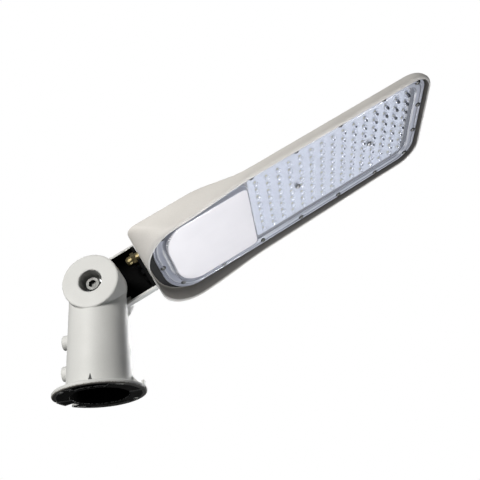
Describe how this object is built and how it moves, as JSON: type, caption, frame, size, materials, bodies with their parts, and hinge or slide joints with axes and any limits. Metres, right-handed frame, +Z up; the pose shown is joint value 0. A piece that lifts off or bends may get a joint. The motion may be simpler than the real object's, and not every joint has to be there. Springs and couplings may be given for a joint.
{
  "type": "led street luminaire with tilting pole adapter",
  "caption": "LED street light head, grey die-cast body with clear raised lens cover, white driver plate and a short neck hinged on a slip-over pole adapter",
  "frame": {"origin": "centre of the foot face of the pole adapter, on the axis of the pole socket", "axes": "+Z up the pole socket, +X towards the lamp head, +Y across the head, away from the pivot bolt's head; the light shines down"},
  "size_m": [0.4588, 0.173, 0.2957],
  "materials": {
    "adapter_paint": "powder coat, matte",
    "housing_paint": "powder coat, matte",
    "bright_steel": "satin",
    "brass_fitting": "satin",
    "black_rubber": "matte",
    "clear_lens": "gloss",
    "board_white": "matte",
    "plate_white": "matte",
    "driver_case": "satin",
    "terminal_nylon": "matte"
  },
  "bodies": {
    "adapter": {"pole_adapter": "adapter_paint", "pivot_bolt": "bright_steel", "front_pivot_washer": "bright_steel", "rear_pivot_washer": "bright_steel", "pivot_nut": "bright_steel"},
    "lower_clamp": {"lower_clamp_screw": "bright_steel"},
    "upper_clamp": {"upper_clamp_screw": "bright_steel"},
    "lamp_head": {"neck_bracket": "housing_paint", "neck_screw_1": "bright_steel", "neck_screw_2": "bright_steel", "neck_screw_3": "bright_steel", "gland_body": "brass_fitting", "gland_cap": "brass_fitting", "gland_seal": "black_rubber", "earth_tag": "bright_steel", "earth_screw": "bright_steel", "housing": "housing_paint", "lens_gasket": "black_rubber", "lens_cover": "clear_lens", "light_board": "board_white", "driver_cover_plate": "plate_white", "lens_screw_01": "bright_steel", "lens_screw_02": "bright_steel", "lens_screw_03": "bright_steel", "lens_screw_04": "bright_steel", "lens_screw_05": "bright_steel", "lens_screw_06": "bright_steel", "lens_screw_07": "bright_steel", "lens_screw_08": "bright_steel", "lens_screw_09": "bright_steel", "lens_screw_10": "bright_steel", "lens_screw_11": "bright_steel", "lens_screw_12": "bright_steel", "lens_screw_13": "bright_steel", "lens_screw_14": "bright_steel", "lens_screw_15": "bright_steel", "lens_screw_16": "bright_steel", "lens_screw_17": "bright_steel", "centre_screw_1": "bright_steel", "centre_screw_2": "bright_steel", "led_driver": "driver_case", "driver_screw_1": "bright_steel", "driver_screw_2": "bright_steel", "terminal_block": "terminal_nylon"}
  },
  "joints": [
    {"name": "head_tilt", "type": "hinge", "parent": "adapter", "child": "lamp_head", "pos_m": [0.0015, 0, 0.1175], "axis": [0, -1, 0], "range_deg": [-24.5, 65.5]},
    {"name": "lower_clamp_travel", "type": "slide", "parent": "adapter", "child": "lower_clamp", "axis": [1, 0, 0], "range_m": [0, 0.006]},
    {"name": "upper_clamp_travel", "type": "slide", "parent": "adapter", "child": "upper_clamp", "axis": [1, 0, 0], "range_m": [0, 0.006]}
  ]
}
